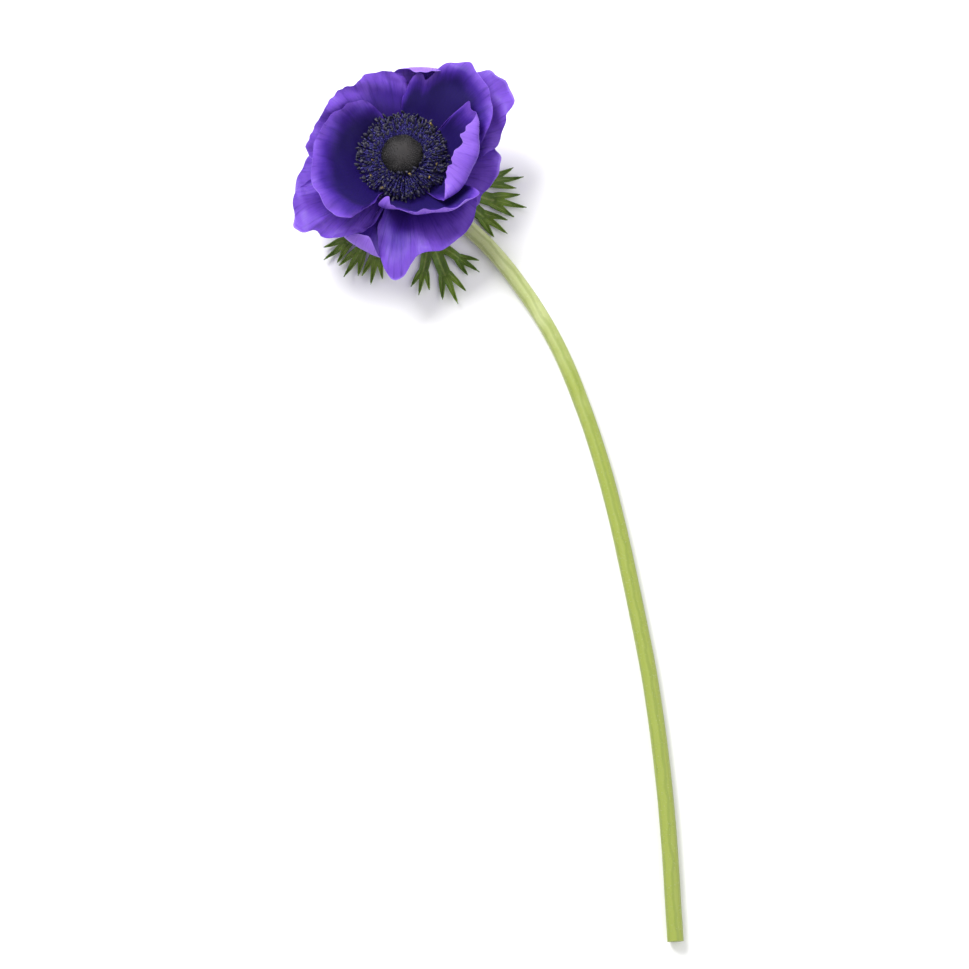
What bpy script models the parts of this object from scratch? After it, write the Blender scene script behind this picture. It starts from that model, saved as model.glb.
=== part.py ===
"""A cut anemone lying face up: one flower head, its collar of leaves and its bent stem.

Lengths are in metres and angles in degrees. The flower is modelled round its own axis, with
the head's centre over the point (0, 0), and the whole is then centred on the frame's origin,
resting on z = 0. +Y runs from the cut end of the stem towards the flower.
"""

import math
from dataclasses import dataclass

import bmesh
import bpy
import numpy as np
from mathutils import Vector

MM = 0.001

# The head
HEAD_HEIGHT = 21 * MM  # of the receptacle's top over the surface
RECEPTACLE_RADIUS = 5.3 * MM
SEAT_GAP = 0.3 * MM  # between two pieces that touch

# Petals
PETAL_THICKNESS = 0.6 * MM
PETAL_ROOT_RADIUS = RECEPTACLE_RADIUS + SEAT_GAP
PETAL_LAYER_STEP = 0.9 * MM  # from one layer of petals down to the next
PETAL_TOP_LAYER = -0.4 * MM
FLOOR_OF_BOWL = 6  # slope of a petal near its root
BEND_START, BEND_END = 5 * MM, 17 * MM  # where a petal turns up, along its length
RECURVE_START = 0.72  # share of the length at which a tip turns back
CLAW = 0.5  # how far a petal's ribs are fanned out at its root, as a share
FANNED = 0.6  # share of a rib's length at which they are fanned out fully
WAVES = ((1.3 * MM, 3, 0.7), (0.8 * MM, 5, 2.1))  # height, count and phase round the flower
WAVE_START, WAVE_END = 14 * MM, 36 * MM  # distances from the axis between which they grow
PETAL_ROWS, PETAL_COLUMNS = 9, 14
PROFILE_STEPS = 41

# Stamens and seed head
COLLAR_SIDES = 36
COLLAR_PROFILE = ((5.6, 0.25), (7.8, 0.25), (8.1, 0.85), (7.6, 1.5), (6.8, 2.0), (5.8, 2.0))
STAMEN_ROWS = ((1, 24, 8.4, 0), (2, 42, 7.8, 1), (3, 62, 6.8, 0))
STAMEN_STEPS = ((0.62, 0.34), (0.22, 2.3), (0.16, 0.45))
SEED_HEAD_PROFILE = (
    (0.0, 0.75), (4.3, 0.75), (5.2, 2.0), (6.6, 3.3), (7.2, 5.0), (6.7, 7.0), (5.0, 8.7),
    (2.6, 9.6), (0.0, 9.9),
)
SEED_HEAD_SIDES = 20

# Stem
STEM_RADIUS = 3.1 * MM
NECK_BEND_RADIUS = 10.5 * MM
NECK_HEADING = -45  # where the stem leaves the flower, seen from above
NECK_STEPS = 7
NECK_TAPER = (  # height from the receptacle's top, and radius
    (0.4 * MM, RECEPTACLE_RADIUS), (-4.4 * MM, RECEPTACLE_RADIUS), (-5.6 * MM, 4.2 * MM),
    (-6.8 * MM, 3.1 * MM),
)
STEM_ROUTE = (  # along the surface, from the neck to the cut end
    (28.5, -24.6), (44.7, -44.5), (58.5, -68.4), (69.5, -97.0), (78.0, -127.0),
    (85.5, -163.0), (92.0, -200.0), (96.5, -242.0), (99.0, -290.0),
)
STEM_STEPS = 6  # between two points of the route
STEM_SIDES_LEVEL = 4

# Leaves
LEAF_THICKNESS = 0.6 * MM
LEAF_ROOT = 3.5 * MM
LEAF_ROOT_HEIGHT = 13 * MM
LEAF_LOW = 0.45 * MM
LEAF_DROP = (7 * MM, 31 * MM)  # distances from the stem between which a leaf comes down
LEAF_CURL = 1.6 * MM  # how far its tips rise again
LEAF_CURL_ZONE = (40 * MM, 60 * MM)
LEAF_ROOT_HALF = 1.6 * MM
TOOTH_BELLY = 0.4  # where a tooth is widest, as a share of its length
LOBE_SIDE = (0.35, 0.7)  # where a lobe's sides get a point


@dataclass(frozen=True)
class Petal:
    """One petal: ribs that fan out over a bowl to the outline. Layer 0 is the innermost."""

    name: str
    rise: float  # slope of its upper part
    layer: int
    outline: tuple  # (azimuth, distance from the root in millimetres), clockwise
    recurve: float = 14.0  # how far the margin turns back
    recurve_start: float = 0.72  # share of a rib's length at which it starts to
    twist: float = 0.0  # more slope at one side than at the other
    cup: float = 0.0  # sides raised over the middle


PETALS = (
    Petal(
        "petal_inner_left", 46, 0,
        ((235, 13), (241, 25), (238, 34), (227, 38), (210, 37), (190, 33.5), (167, 30), (147, 26),
         (130, 22.5), (121, 18), (117, 12)),
        recurve=26, cup=1.2 * MM,
    ),
    Petal(
        "petal_inner_right", 57, 0,
        ((38, 13), (37, 24), (33, 33), (25, 32), (20, 35), (8, 35), (-8, 33), (-24, 31), (-38, 29),
         (-48, 27), (-53, 23), (-54, 18), (-51, 12)),
        recurve=52, recurve_start=0.7, twist=3,
    ),
    Petal(
        "petal_inner_front", 48, 1,
        ((-26, 12), (-28, 22), (-31, 32), (-37, 35), (-48, 34), (-60, 32), (-68, 30), (-76, 28),
         (-86, 30), (-94, 28), (-101, 25), (-105, 20), (-109, 12)),
        recurve=8, twist=-9,
    ),
    Petal(
        "petal_inner_rear", 42, 1,
        ((92, 11), (91, 18), (87, 23), (81, 28), (76, 29.5), (72.5, 27.5), (68, 30.5), (62, 36),
         (54, 40), (44, 40), (28, 37.5), (15, 34), (7, 30), (2, 24), (2, 14)),
        recurve=20,
    ),
    Petal(
        "petal_upper_left", 37, 2,
        ((193, 17), (191, 27), (184, 32), (175, 33), (160, 31), (140, 30.5), (124, 29), (110, 31),
         (94, 28.5), (86, 25), (84, 16)),
        recurve=22,
    ),
    Petal(
        "petal_outer_left", 22, 3,
        ((-110, 16), (-111, 24), (-117, 31), (-130, 40), (-136, 42), (-139, 46), (-147, 45),
         (-156, 41), (-164, 33), (-166, 20)),
        recurve=16,
    ),
    Petal(
        "petal_outer_rear", 31, 3,
        ((109, 14), (104, 24), (95, 29), (87, 33), (80, 36), (72, 36.5), (63.5, 35), (61, 28),
         (60, 17)),
    ),
    Petal(
        "petal_outer_right", 26, 3,
        ((57, 18), (54, 32), (48, 39), (40, 43), (31, 44), (22, 41), (13, 35), (4, 31), (-3, 26),
         (-5, 16)),
        recurve=20,
    ),
    Petal(
        "petal_outer_front", 15, 3,
        ((-27, 17), (-28, 26), (-36, 30), (-50, 33), (-68, 35), (-80, 34.5), (-85, 38), (-89, 43),
         (-94, 43), (-99, 37), (-104, 31), (-108, 23), (-108, 14)),
        recurve=26, twist=8,
    ),
    Petal(
        "petal_under_right", 17, 4,
        ((15, 16), (13, 26), (4, 30.5), (-6, 32.5), (-15, 31), (-24, 28), (-36, 27), (-45, 22),
         (-46, 14)),
        recurve=20, twist=4,
    ),
    Petal(
        "petal_under_left", 14, 4,
        ((-143, 16), (-143, 28), (-147, 38), (-155, 40), (-168, 36), (-180, 31), (-190, 26),
         (-197, 15)),
        recurve=22,
    ),
    Petal(
        "petal_under_front", 1, 4,
        ((-88, 13), (-95, 22), (-100, 31), (-104, 36), (-110, 38), (-117, 38), (-123, 35),
         (-128, 30), (-133, 21), (-138, 13)),
        recurve=32,
    ),
)


@dataclass(frozen=True)
class Lobe:
    """A stretch of leaf blade and what it divides into at its end: 0 forks is a pointed tooth."""

    length: float
    width: float
    forks: int = 0
    fan: float = 30.0  # between one fork's heading and the next
    side_share: float = 0.75  # length of a side fork, as a share of the middle one


@dataclass(frozen=True)
class Leaf:
    """A leaf of the collar, as the lobes from its root outwards."""

    name: str
    heading: float
    stages: tuple


LEAVES = (
    Leaf(
        "leaf_front", -68,
        (Lobe(27 * MM, 8 * MM, 3, 32, 0.75), Lobe(12 * MM, 4.6 * MM, 3, 20), Lobe(13 * MM, 3 * MM)),
    ),
    Leaf(
        "leaf_right", -15,
        (Lobe(20 * MM, 10 * MM, 3, 23, 0.9), Lobe(12 * MM, 5.2 * MM, 3, 18), Lobe(13 * MM, 3 * MM)),
    ),
    Leaf(
        "leaf_left", -119,
        (Lobe(20 * MM, 9 * MM, 3, 20, 0.95), Lobe(11 * MM, 4.4 * MM, 3, 18), Lobe(12 * MM, 2.8 * MM)),
    ),
)

COLOURS = {  # colour, roughness
    "petal": ((0.13, 0.06, 0.46), 0.6),
    "stamen": ((0.015, 0.014, 0.045), 0.7),
    "seed_head": ((0.02, 0.018, 0.02), 0.9),
    "stem": ((0.38, 0.52, 0.16), 0.5),
    "leaf": ((0.09, 0.2, 0.03), 0.6),
}


def smoothstep(low, high, value):
    share = np.clip((value - low) / (high - low), 0.0, 1.0)
    return share * share * (3 - 2 * share)


def material(kind):
    """The Principled material of one kind of tissue, made on its first use."""
    found = bpy.data.materials.get(kind)
    if found:
        return found
    made = bpy.data.materials.new(kind)
    made.use_nodes = True
    shader = made.node_tree.nodes["Principled BSDF"]
    colour, roughness = COLOURS[kind]
    shader.inputs["Base Color"].default_value = (*colour, 1)
    shader.inputs["Roughness"].default_value = roughness
    shader.inputs["Metallic"].default_value = 0
    return made


def add_object(name, data, kind, frame):
    """A named object with its material, parented to the frame."""
    made = bpy.data.objects.new(name, data)
    data.materials.append(material(kind))
    made.parent = frame
    bpy.context.scene.collection.objects.link(made)
    return made


def mesh_from(bm, name):
    bmesh.ops.recalc_face_normals(bm, faces=bm.faces)
    mesh = bpy.data.meshes.new(name)
    bm.to_mesh(mesh)
    bm.free()
    mesh.shade_smooth()
    return mesh


def thicken(obj, thickness):
    """A sheet made a closed solid, half of its thickness on either side."""
    modifier = obj.modifiers.new("Thickness", "SOLIDIFY")
    modifier.thickness = thickness
    modifier.offset = 0
    modifier.use_even_offset = False


def rib_profile(petal, slope, length, along):
    """(outward, upward) from a petal's root at a distance along one of its ribs."""
    steps = np.linspace(0.0, along, PROFILE_STEPS)
    angle = FLOOR_OF_BOWL + (slope - FLOOR_OF_BOWL) * smoothstep(BEND_START, BEND_END, steps)
    longest = max(reach for _, reach in petal.outline) * MM
    lip = smoothstep(petal.recurve_start * length, length, steps) * min(1, length / longest) ** 2
    angle = np.radians(angle - petal.recurve * lip)
    return np.trapz(np.cos(angle), steps), np.trapz(np.sin(angle), steps)


def bowl_wave(radius, turn):
    """The slow waves that all the petals share, so that they stay nested."""
    waves = sum(height * math.sin(count * turn + phase) for height, count, phase in WAVES)
    return smoothstep(WAVE_START, WAVE_END, radius) * waves


def petal_point(petal, heading, spread, tip, share):
    """A point of a petal's middle surface: share runs 0 to 1 along the rib that ends at the tip."""
    azimuth, length = tip[0], tip[1] * MM
    side = (azimuth - heading) / spread
    slope = petal.rise + petal.twist * side
    outward, upward = rib_profile(petal, slope, length, share * length)
    radius = PETAL_ROOT_RADIUS + outward
    turn = math.radians(heading + (azimuth - heading) * (CLAW + (1 - CLAW) * smoothstep(0, FANNED, share)))
    height = HEAD_HEIGHT + PETAL_TOP_LAYER - petal.layer * PETAL_LAYER_STEP
    height += upward + bowl_wave(radius, turn) + petal.cup * side * side * share**2
    return Vector((radius * math.cos(turn), radius * math.sin(turn), height))


def spread_tips(outline):
    """Evenly spaced points along a petal's outline, one for each rib."""
    curve = catmull_rom([np.array(point, float) for point in outline], PETAL_COLUMNS)
    flat = np.array([(math.radians(azimuth) * reach, reach) for azimuth, reach in curve])
    walked = np.concatenate(((0.0,), np.cumsum(np.linalg.norm(np.diff(flat, axis=0), axis=1))))
    even = np.linspace(0, walked[-1], PETAL_COLUMNS + 1)
    return [tuple(np.interp(even, walked, np.array(curve)[:, axis])) for axis in range(2)]


def build_petal(petal, frame):
    azimuths = [point[0] for point in petal.outline]
    heading = (max(azimuths) + min(azimuths)) / 2
    spread = (max(azimuths) - min(azimuths)) / 2
    tips = list(zip(*spread_tips(petal.outline)))
    bm = bmesh.new()
    rows = [
        [bm.verts.new(petal_point(petal, heading, spread, tip, row / PETAL_ROWS)) for tip in tips]
        for row in range(PETAL_ROWS + 1)
    ]
    for near, far in zip(rows, rows[1:]):
        for left in range(PETAL_COLUMNS):
            bm.faces.new((near[left], far[left], far[left + 1], near[left + 1]))
    made = add_object(petal.name, mesh_from(bm, petal.name), "petal", frame)
    thicken(made, PETAL_THICKNESS)


def turned_ring(bm, profile, sides, height):
    """Rings of vertices for a profile of (radius, height) in millimetres; radius 0 is one vertex."""
    rings = []
    for radius, level in profile:
        z = height + level * MM
        if radius == 0:
            rings.append([bm.verts.new((0, 0, z))] * sides)
            continue
        turns = (math.tau * side / sides for side in range(sides))
        rings.append(
            [bm.verts.new((radius * MM * math.cos(a), radius * MM * math.sin(a), z)) for a in turns]
        )
    return rings


def bridge(bm, lower, upper):
    """Faces between two rings, which may be one vertex at a pole."""
    faces = []
    for side in range(len(lower)):
        after = (side + 1) % len(lower)
        corners = (lower[side], lower[after], upper[after], upper[side])
        faces.append(bm.faces.new(tuple(dict.fromkeys(corners))))
    return faces


def build_seed_head(frame):
    bm = bmesh.new()
    rings = turned_ring(bm, SEED_HEAD_PROFILE, SEED_HEAD_SIDES, HEAD_HEIGHT)
    for lower, upper in zip(rings, rings[1:]):
        bridge(bm, lower, upper)
    add_object("seed_head", mesh_from(bm, "seed_head"), "seed_head", frame)


def grow_stamen(bm, face, elevation, length):
    """A stamen drawn out of one face of the collar: a thin thread, then a thicker anther."""
    middle = face.calc_center_median()
    turn = math.atan2(middle.y, middle.x)
    tilt = math.radians(elevation)
    heading = Vector(
        (math.cos(turn) * math.cos(tilt), math.sin(turn) * math.cos(tilt), math.sin(tilt))
    )
    for share, scale in STAMEN_STEPS:
        grown = bmesh.ops.extrude_discrete_faces(bm, faces=[face])
        face = grown["faces"][0]
        bmesh.ops.translate(bm, verts=face.verts, vec=heading * length * share)
        centre = face.calc_center_median()
        for vert in face.verts:
            vert.co = centre + (vert.co - centre) * scale


def build_stamens(frame):
    bm = bmesh.new()
    rings = turned_ring(bm, COLLAR_PROFILE, COLLAR_SIDES, HEAD_HEIGHT)
    bands = [bridge(bm, a, b) for a, b in zip(rings, rings[1:] + rings[:1])]
    for band, elevation, length, offset in STAMEN_ROWS:
        for face in bands[band][offset::2]:
            grow_stamen(bm, face, elevation, length * MM)
    add_object("stamens", mesh_from(bm, "stamens"), "stamen", frame)


def catmull_rom(points, steps):
    """Points along a smooth curve through the given ones."""
    ends = [2 * points[0] - points[1], *points, 2 * points[-1] - points[-2]]
    curve = []
    for a, b, c, d in zip(ends, ends[1:], ends[2:], ends[3:]):
        for step in range(steps):
            t = step / steps
            curve.append(
                0.5 * (2 * b + (c - a) * t + (2 * a - 5 * b + 4 * c - d) * t**2
                       + (3 * b - a - 3 * c + d) * t**3)
            )
    return [*curve, points[-1]]


def stem_path():
    """(point, radius) from the receptacle's top, down the neck and along the surface."""
    path = [(Vector((0, 0, HEAD_HEIGHT + level)), radius) for level, radius in NECK_TAPER]
    heading = math.radians(NECK_HEADING)
    side = Vector((math.cos(heading), math.sin(heading), 0))
    centre = side * NECK_BEND_RADIUS + Vector((0, 0, STEM_RADIUS + NECK_BEND_RADIUS))
    for step in range(NECK_STEPS):
        angle = math.pi / 2 * step / NECK_STEPS
        arm = -side * math.cos(angle) - Vector((0, 0, math.sin(angle)))
        path.append((centre + arm * NECK_BEND_RADIUS, STEM_RADIUS))
    foot = side * NECK_BEND_RADIUS + Vector((0, 0, STEM_RADIUS))
    route = [foot] + [Vector((x * MM, y * MM, STEM_RADIUS)) for x, y in STEM_ROUTE]
    return path + [(point, STEM_RADIUS) for point in catmull_rom(route, STEM_STEPS)]


def build_stem(frame):
    path = stem_path()
    curve = bpy.data.curves.new("stem", "CURVE")
    curve.dimensions = "3D"
    curve.bevel_depth = STEM_RADIUS
    curve.bevel_resolution = STEM_SIDES_LEVEL
    curve.use_fill_caps = True
    spline = curve.splines.new("POLY")
    spline.points.add(len(path) - 1)
    for point, (place, radius) in zip(spline.points, path):
        point.co = (*place, 1)
        point.radius = radius / STEM_RADIUS
    add_object("stem", curve, "stem", frame)


def unit(angle):
    return np.array((math.cos(math.radians(angle)), math.sin(math.radians(angle))))


def lobe_outline(stages, left, right, heading, scale):
    """The outline of a lobe and all it divides into, from its left root to its right one."""
    lobe, rest = stages[0], stages[1:]
    along, across = unit(heading), unit(heading + 90)
    root = (left + right) / 2
    end = root + along * lobe.length * scale
    if not lobe.forks:
        belly = root + along * lobe.length * scale * TOOTH_BELLY
        half = across * lobe.width * scale / 2
        return [left, belly + half, end, belly - half]
    half = across * lobe.width * scale / 2
    outline = [left, *(root + (end - root) * share + half for share in LOBE_SIDE)]
    corners = [end + half * (1 - 2 * fork / lobe.forks) for fork in range(lobe.forks + 1)]
    middle = (lobe.forks - 1) / 2
    for fork in range(lobe.forks):
        turn = (middle - fork) * lobe.fan
        share = scale * (lobe.side_share if turn else 1)
        outline += lobe_outline(rest, corners[fork], corners[fork + 1], heading + turn, share)
    outline += [corners[-1], *(root + (end - root) * share - half for share in LOBE_SIDE[::-1])]
    return outline


def leaf_height(distance):
    """A leaf leaves the stem nearly level, comes down, and lies on the surface."""
    drop = smoothstep(*LEAF_DROP, distance)
    curl = LEAF_CURL * smoothstep(*LEAF_CURL_ZONE, distance)
    return LEAF_LOW + (LEAF_ROOT_HEIGHT - LEAF_LOW) * (1 - drop) + curl


def build_leaf(leaf, frame):
    root = np.array((LEAF_ROOT, 0.0))
    half = np.array((0.0, LEAF_ROOT_HALF))
    outline = lobe_outline(leaf.stages, root + half, root - half, 0, 1.0) + [root - half]
    turn = math.radians(leaf.heading)
    bm = bmesh.new()
    verts = []
    for x, y in outline:
        place = Vector((x * math.cos(turn) - y * math.sin(turn),
                        x * math.sin(turn) + y * math.cos(turn), leaf_height(math.hypot(x, y))))
        if not verts or (place - verts[-1].co).length > 1e-6:
            verts.append(bm.verts.new(place))
    face = bm.faces.new(verts)
    face.normal_update()
    bmesh.ops.triangulate(bm, faces=[face], ngon_method="BEAUTY")
    made = add_object(leaf.name, mesh_from(bm, leaf.name), "leaf", frame)
    thicken(made, LEAF_THICKNESS)


def centre_on_origin(frame):
    """Moves the frame so that the whole stands on z = 0 with its box centred on the origin."""
    bpy.context.view_layer.update()
    graph = bpy.context.evaluated_depsgraph_get()
    corners = []
    for child in frame.children:
        mesh = child.evaluated_get(graph).to_mesh()
        points = np.empty(len(mesh.vertices) * 3, np.float32)
        mesh.vertices.foreach_get("co", points)
        corners += [points.reshape(-1, 3).min(axis=0), points.reshape(-1, 3).max(axis=0)]
        child.evaluated_get(graph).to_mesh_clear()
    low, high = np.min(corners, axis=0), np.max(corners, axis=0)
    middle = (low + high) / 2
    frame.location = (-float(middle[0]), -float(middle[1]), -float(low[2]))


def main():
    for obj in list(bpy.data.objects):
        bpy.data.objects.remove(obj, do_unlink=True)
    frame = bpy.data.objects.new("flower_frame", None)
    bpy.context.scene.collection.objects.link(frame)
    build_stem(frame)
    for leaf in LEAVES:
        build_leaf(leaf, frame)
    for petal in PETALS:
        build_petal(petal, frame)
    build_stamens(frame)
    build_seed_head(frame)
    centre_on_origin(frame)


main()
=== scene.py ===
"""The finished surfaces of a cut anemone that lies face up.

Petals, stamens, seed head, leaves and stem are each modelled round the flower's own axis and
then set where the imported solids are. Lengths are in metres and angles in degrees.
"""

import logging
import math
from dataclasses import dataclass, field
from enum import Enum
from typing import Callable, Sequence, Union

import bpy
import numpy as np
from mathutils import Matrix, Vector


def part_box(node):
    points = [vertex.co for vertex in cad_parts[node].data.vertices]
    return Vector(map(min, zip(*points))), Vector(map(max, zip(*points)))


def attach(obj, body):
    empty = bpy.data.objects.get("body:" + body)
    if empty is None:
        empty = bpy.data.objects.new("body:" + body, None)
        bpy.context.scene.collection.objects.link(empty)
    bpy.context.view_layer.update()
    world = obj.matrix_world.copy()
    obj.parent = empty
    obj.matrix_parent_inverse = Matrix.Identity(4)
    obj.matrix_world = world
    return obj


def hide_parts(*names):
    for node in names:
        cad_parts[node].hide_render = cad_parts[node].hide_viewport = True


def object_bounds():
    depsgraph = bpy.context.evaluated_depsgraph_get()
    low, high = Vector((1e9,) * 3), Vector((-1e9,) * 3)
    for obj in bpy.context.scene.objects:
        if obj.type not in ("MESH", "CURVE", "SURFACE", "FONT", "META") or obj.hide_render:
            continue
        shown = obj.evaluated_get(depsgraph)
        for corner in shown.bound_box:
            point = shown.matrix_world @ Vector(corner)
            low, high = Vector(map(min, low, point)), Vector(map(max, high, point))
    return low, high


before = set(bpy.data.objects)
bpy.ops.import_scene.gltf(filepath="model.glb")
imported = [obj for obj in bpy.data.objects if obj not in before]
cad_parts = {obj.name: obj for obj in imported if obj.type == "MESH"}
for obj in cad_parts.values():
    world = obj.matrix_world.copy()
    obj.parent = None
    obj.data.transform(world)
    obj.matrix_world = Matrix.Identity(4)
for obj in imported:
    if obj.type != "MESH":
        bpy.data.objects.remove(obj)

MM = 0.001
CAD_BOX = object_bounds()
BODY = "root"
DOUBLES = 1e-6
HEAD_HEIGHT = 21 * MM
LOG = logging.getLogger("anemone")

Array = np.ndarray
Colour = tuple[float, float, float]


# ---------------------------------------------------------------------------- shape helpers


def smoothstep(low: float, high: float, value: Array) -> Array:
    """A soft step from 0 at low to 1 at high.

    Args:
        low: Where the step starts.
        high: Where it ends.
        value: The values to step.

    Returns:
        The stepped values.
    """
    share = np.clip((value - low) / (high - low), 0.0, 1.0)
    return share * share * (3 - 2 * share)


def ripples(x: Array, y: Array, wavelength: float, seed: int, waves: int = 7) -> Array:
    """A smooth uneven surface, as a sum of seeded plane waves.

    Args:
        x: First coordinate.
        y: Second coordinate.
        wavelength: The usual distance between two crests.
        seed: Picks the headings, phases and lengths of the waves.
        waves: How many are added.

    Returns:
        Heights of about -1.5 to 1.5.
    """
    rng = np.random.default_rng(seed)
    total = np.zeros_like(x)
    for _ in range(waves):
        heading, phase = rng.uniform(0, math.tau, 2)
        length = wavelength * rng.uniform(0.7, 1.5)
        total += np.sin((x * math.cos(heading) + y * math.sin(heading)) * math.tau / length + phase)
    return total / math.sqrt(waves)


def spline(a: Array, b: Array, c: Array, d: Array, t: Union[Array, float]) -> Array:
    """A smooth curve through points, on its stretch from b to c.

    Args:
        a: The point before the stretch.
        b: The point it starts from.
        c: The point it ends at.
        d: The point after it.
        t: The share of the stretch, from 0 to 1.

    Returns:
        The curve's point.
    """
    straight, bend = 2 * b + (c - a) * t, 2 * a - 5 * b + 4 * c - d
    return 0.5 * (straight + bend * t**2 + (3 * b - a - 3 * c + d) * t**3)


def unit(vectors: Array) -> Array:
    """The vectors made one long, along the last axis."""
    return vectors / np.maximum(np.linalg.norm(vectors, axis=-1, keepdims=True), 1e-12)


def head_place() -> Vector:
    """The point on the surface below the middle of the flower, from the seed head's solid."""
    low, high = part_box("seed_head")
    return Vector(((low.x + high.x) / 2, (low.y + high.y) / 2, 0.0))


def deselect() -> None:
    """Leaves nothing selected, so that the next operator acts only on what it makes."""
    if bpy.context.object and bpy.context.object.mode != "OBJECT":
        bpy.ops.object.mode_set(mode="OBJECT")
    bpy.ops.object.select_all(action="DESELECT")


def pick(obj: bpy.types.Object) -> None:
    """Selects the object alone and makes it the active one.

    Args:
        obj: The object that the next operator acts on.
    """
    deselect()
    obj.select_set(True)
    bpy.context.view_layer.objects.active = obj


def points_of(obj: bpy.types.Object) -> Array:
    """The object's points, one in each row.

    Args:
        obj: The object to read.

    Returns:
        (points, 3) places in its own frame.
    """
    flat = np.empty(len(obj.data.vertices) * 3)
    obj.data.vertices.foreach_get("co", flat)
    return flat.reshape(-1, 3)


def set_points(obj: bpy.types.Object, points: Array) -> None:
    """Gives the object's points new places.

    Args:
        obj: The object to change.
        points: (points, 3) places in its own frame.
    """
    obj.data.vertices.foreach_set("co", points.astype(np.float32).ravel())
    obj.data.update()


def store(mesh: bpy.types.Mesh, name: str, values: Array) -> None:
    """Keeps a number on each of the mesh's points, for a shader to read.

    Args:
        mesh: The mesh.
        name: The attribute's name.
        values: One number for each point.
    """
    attribute = mesh.attributes.new(name, "FLOAT", "POINT")
    attribute.data.foreach_set("value", np.asarray(values, np.float32))


def new_object(name: str, points: Array, faces: list[tuple[int, ...]]) -> bpy.types.Object:
    """An object in the scene, from its points and faces.

    Args:
        name: The object's name.
        points: (points, 3) places.
        faces: The points of each face.

    Returns:
        The object.
    """
    mesh = bpy.data.meshes.new(name)
    mesh.from_pydata(points.tolist(), [], faces)
    made = bpy.data.objects.new(name, mesh)
    bpy.context.scene.collection.objects.link(made)
    return made


def apply_modifiers(obj: bpy.types.Object) -> None:
    """Applies each of the object's modifiers in turn.

    Args:
        obj: The object to finish.
    """
    pick(obj)
    for modifier in list(obj.modifiers):
        bpy.ops.object.modifier_apply(modifier=modifier.name)


def smooth_shade(obj: bpy.types.Object, angle: float) -> None:
    """Shades the object smooth, with a hard edge where two faces meet more sharply.

    Args:
        obj: The object to shade.
        angle: The sharpest turn that stays smooth, in degrees.
    """
    pick(obj)
    bpy.ops.object.shade_smooth_by_angle(angle=math.radians(angle))


def grid_sheet(
    name: str, columns: int, rows: int, place: Callable[[Array, Array], Array]
) -> bpy.types.Object:
    """A grid primitive whose points are set by a formula of their place on the grid.

    Args:
        name: The object's name.
        columns: Cells across.
        rows: Cells along.
        place: Gives (points, 3) from the shares across and along, each from 0 to 1.

    Returns:
        The shaped sheet, with the grid's own UV map.
    """
    deselect()
    bpy.ops.mesh.primitive_grid_add(x_subdivisions=columns, y_subdivisions=rows, size=1, calc_uvs=True)
    made = bpy.context.object
    made.name = made.data.name = name
    across, along, _ = (points_of(made) + 0.5).T
    set_points(made, place(across, along))
    return made


def close_tube(obj: bpy.types.Object, merge: float) -> None:
    """Sews the seam of a sheet that was bent to a tube, and fills its two ends.

    Args:
        obj: The bent sheet.
        merge: The distance within which points are one.
    """
    pick(obj)
    bpy.ops.object.mode_set(mode="EDIT")
    bpy.ops.mesh.select_all(action="SELECT")
    bpy.ops.mesh.remove_doubles(threshold=merge)
    bpy.ops.mesh.select_all(action="DESELECT")
    bpy.ops.mesh.select_mode(type="EDGE")
    bpy.ops.mesh.select_non_manifold()
    bpy.ops.mesh.fill()
    bpy.ops.object.mode_set(mode="OBJECT")


def face_outwards(obj: bpy.types.Object) -> None:
    """Turns a closed object's faces outwards.

    Args:
        obj: The closed object.
    """
    pick(obj)
    bpy.ops.object.mode_set(mode="EDIT")
    bpy.ops.mesh.select_all(action="SELECT")
    bpy.ops.mesh.remove_doubles(threshold=DOUBLES)
    bpy.ops.mesh.normals_make_consistent(inside=False)
    bpy.ops.object.mode_set(mode="OBJECT")


def copies(name: str, pattern: bpy.types.Object, frames: Array) -> bpy.types.Object:
    """One mesh of many copies of a small pattern, which is then removed.

    Args:
        name: The new object's name.
        pattern: The small object to repeat.
        frames: (copies, 3, 4) matrices that place each copy.

    Returns:
        The new object. Each copy has a random share of its own, from 0 to 1.
    """
    points = points_of(pattern)
    placed = np.einsum("nij,pj->npi", frames[:, :, :3], points) + frames[:, None, :, 3]
    faces = [tuple(face.vertices) for face in pattern.data.polygons]
    count = len(points)
    every = [tuple(v + count * k for v in face) for k in range(len(frames)) for face in faces]
    made = new_object(name, placed.reshape(-1, 3), every)
    share = np.random.default_rng(count).uniform(0, 1, len(frames))
    store(made.data, "share", np.repeat(share, count))
    made.data.shade_smooth()
    bpy.data.objects.remove(pattern)
    return made


def settle(piece: bpy.types.Object, nodes: Sequence[str], move: Vector) -> None:
    """Sets a finished piece in the frame, at the place of the solids that it stands for.

    Args:
        piece: The piece, modelled round the flower's axis.
        nodes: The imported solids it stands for.
        move: From the flower's own centre to the frame.
    """
    set_points(piece, points_of(piece) + np.array(move))
    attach(piece, BODY)
    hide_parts(*nodes)
    LOG.info("%s: %d faces", piece.name, len(piece.data.polygons))


# ---------------------------------------------------------------------------- shader helpers


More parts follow.
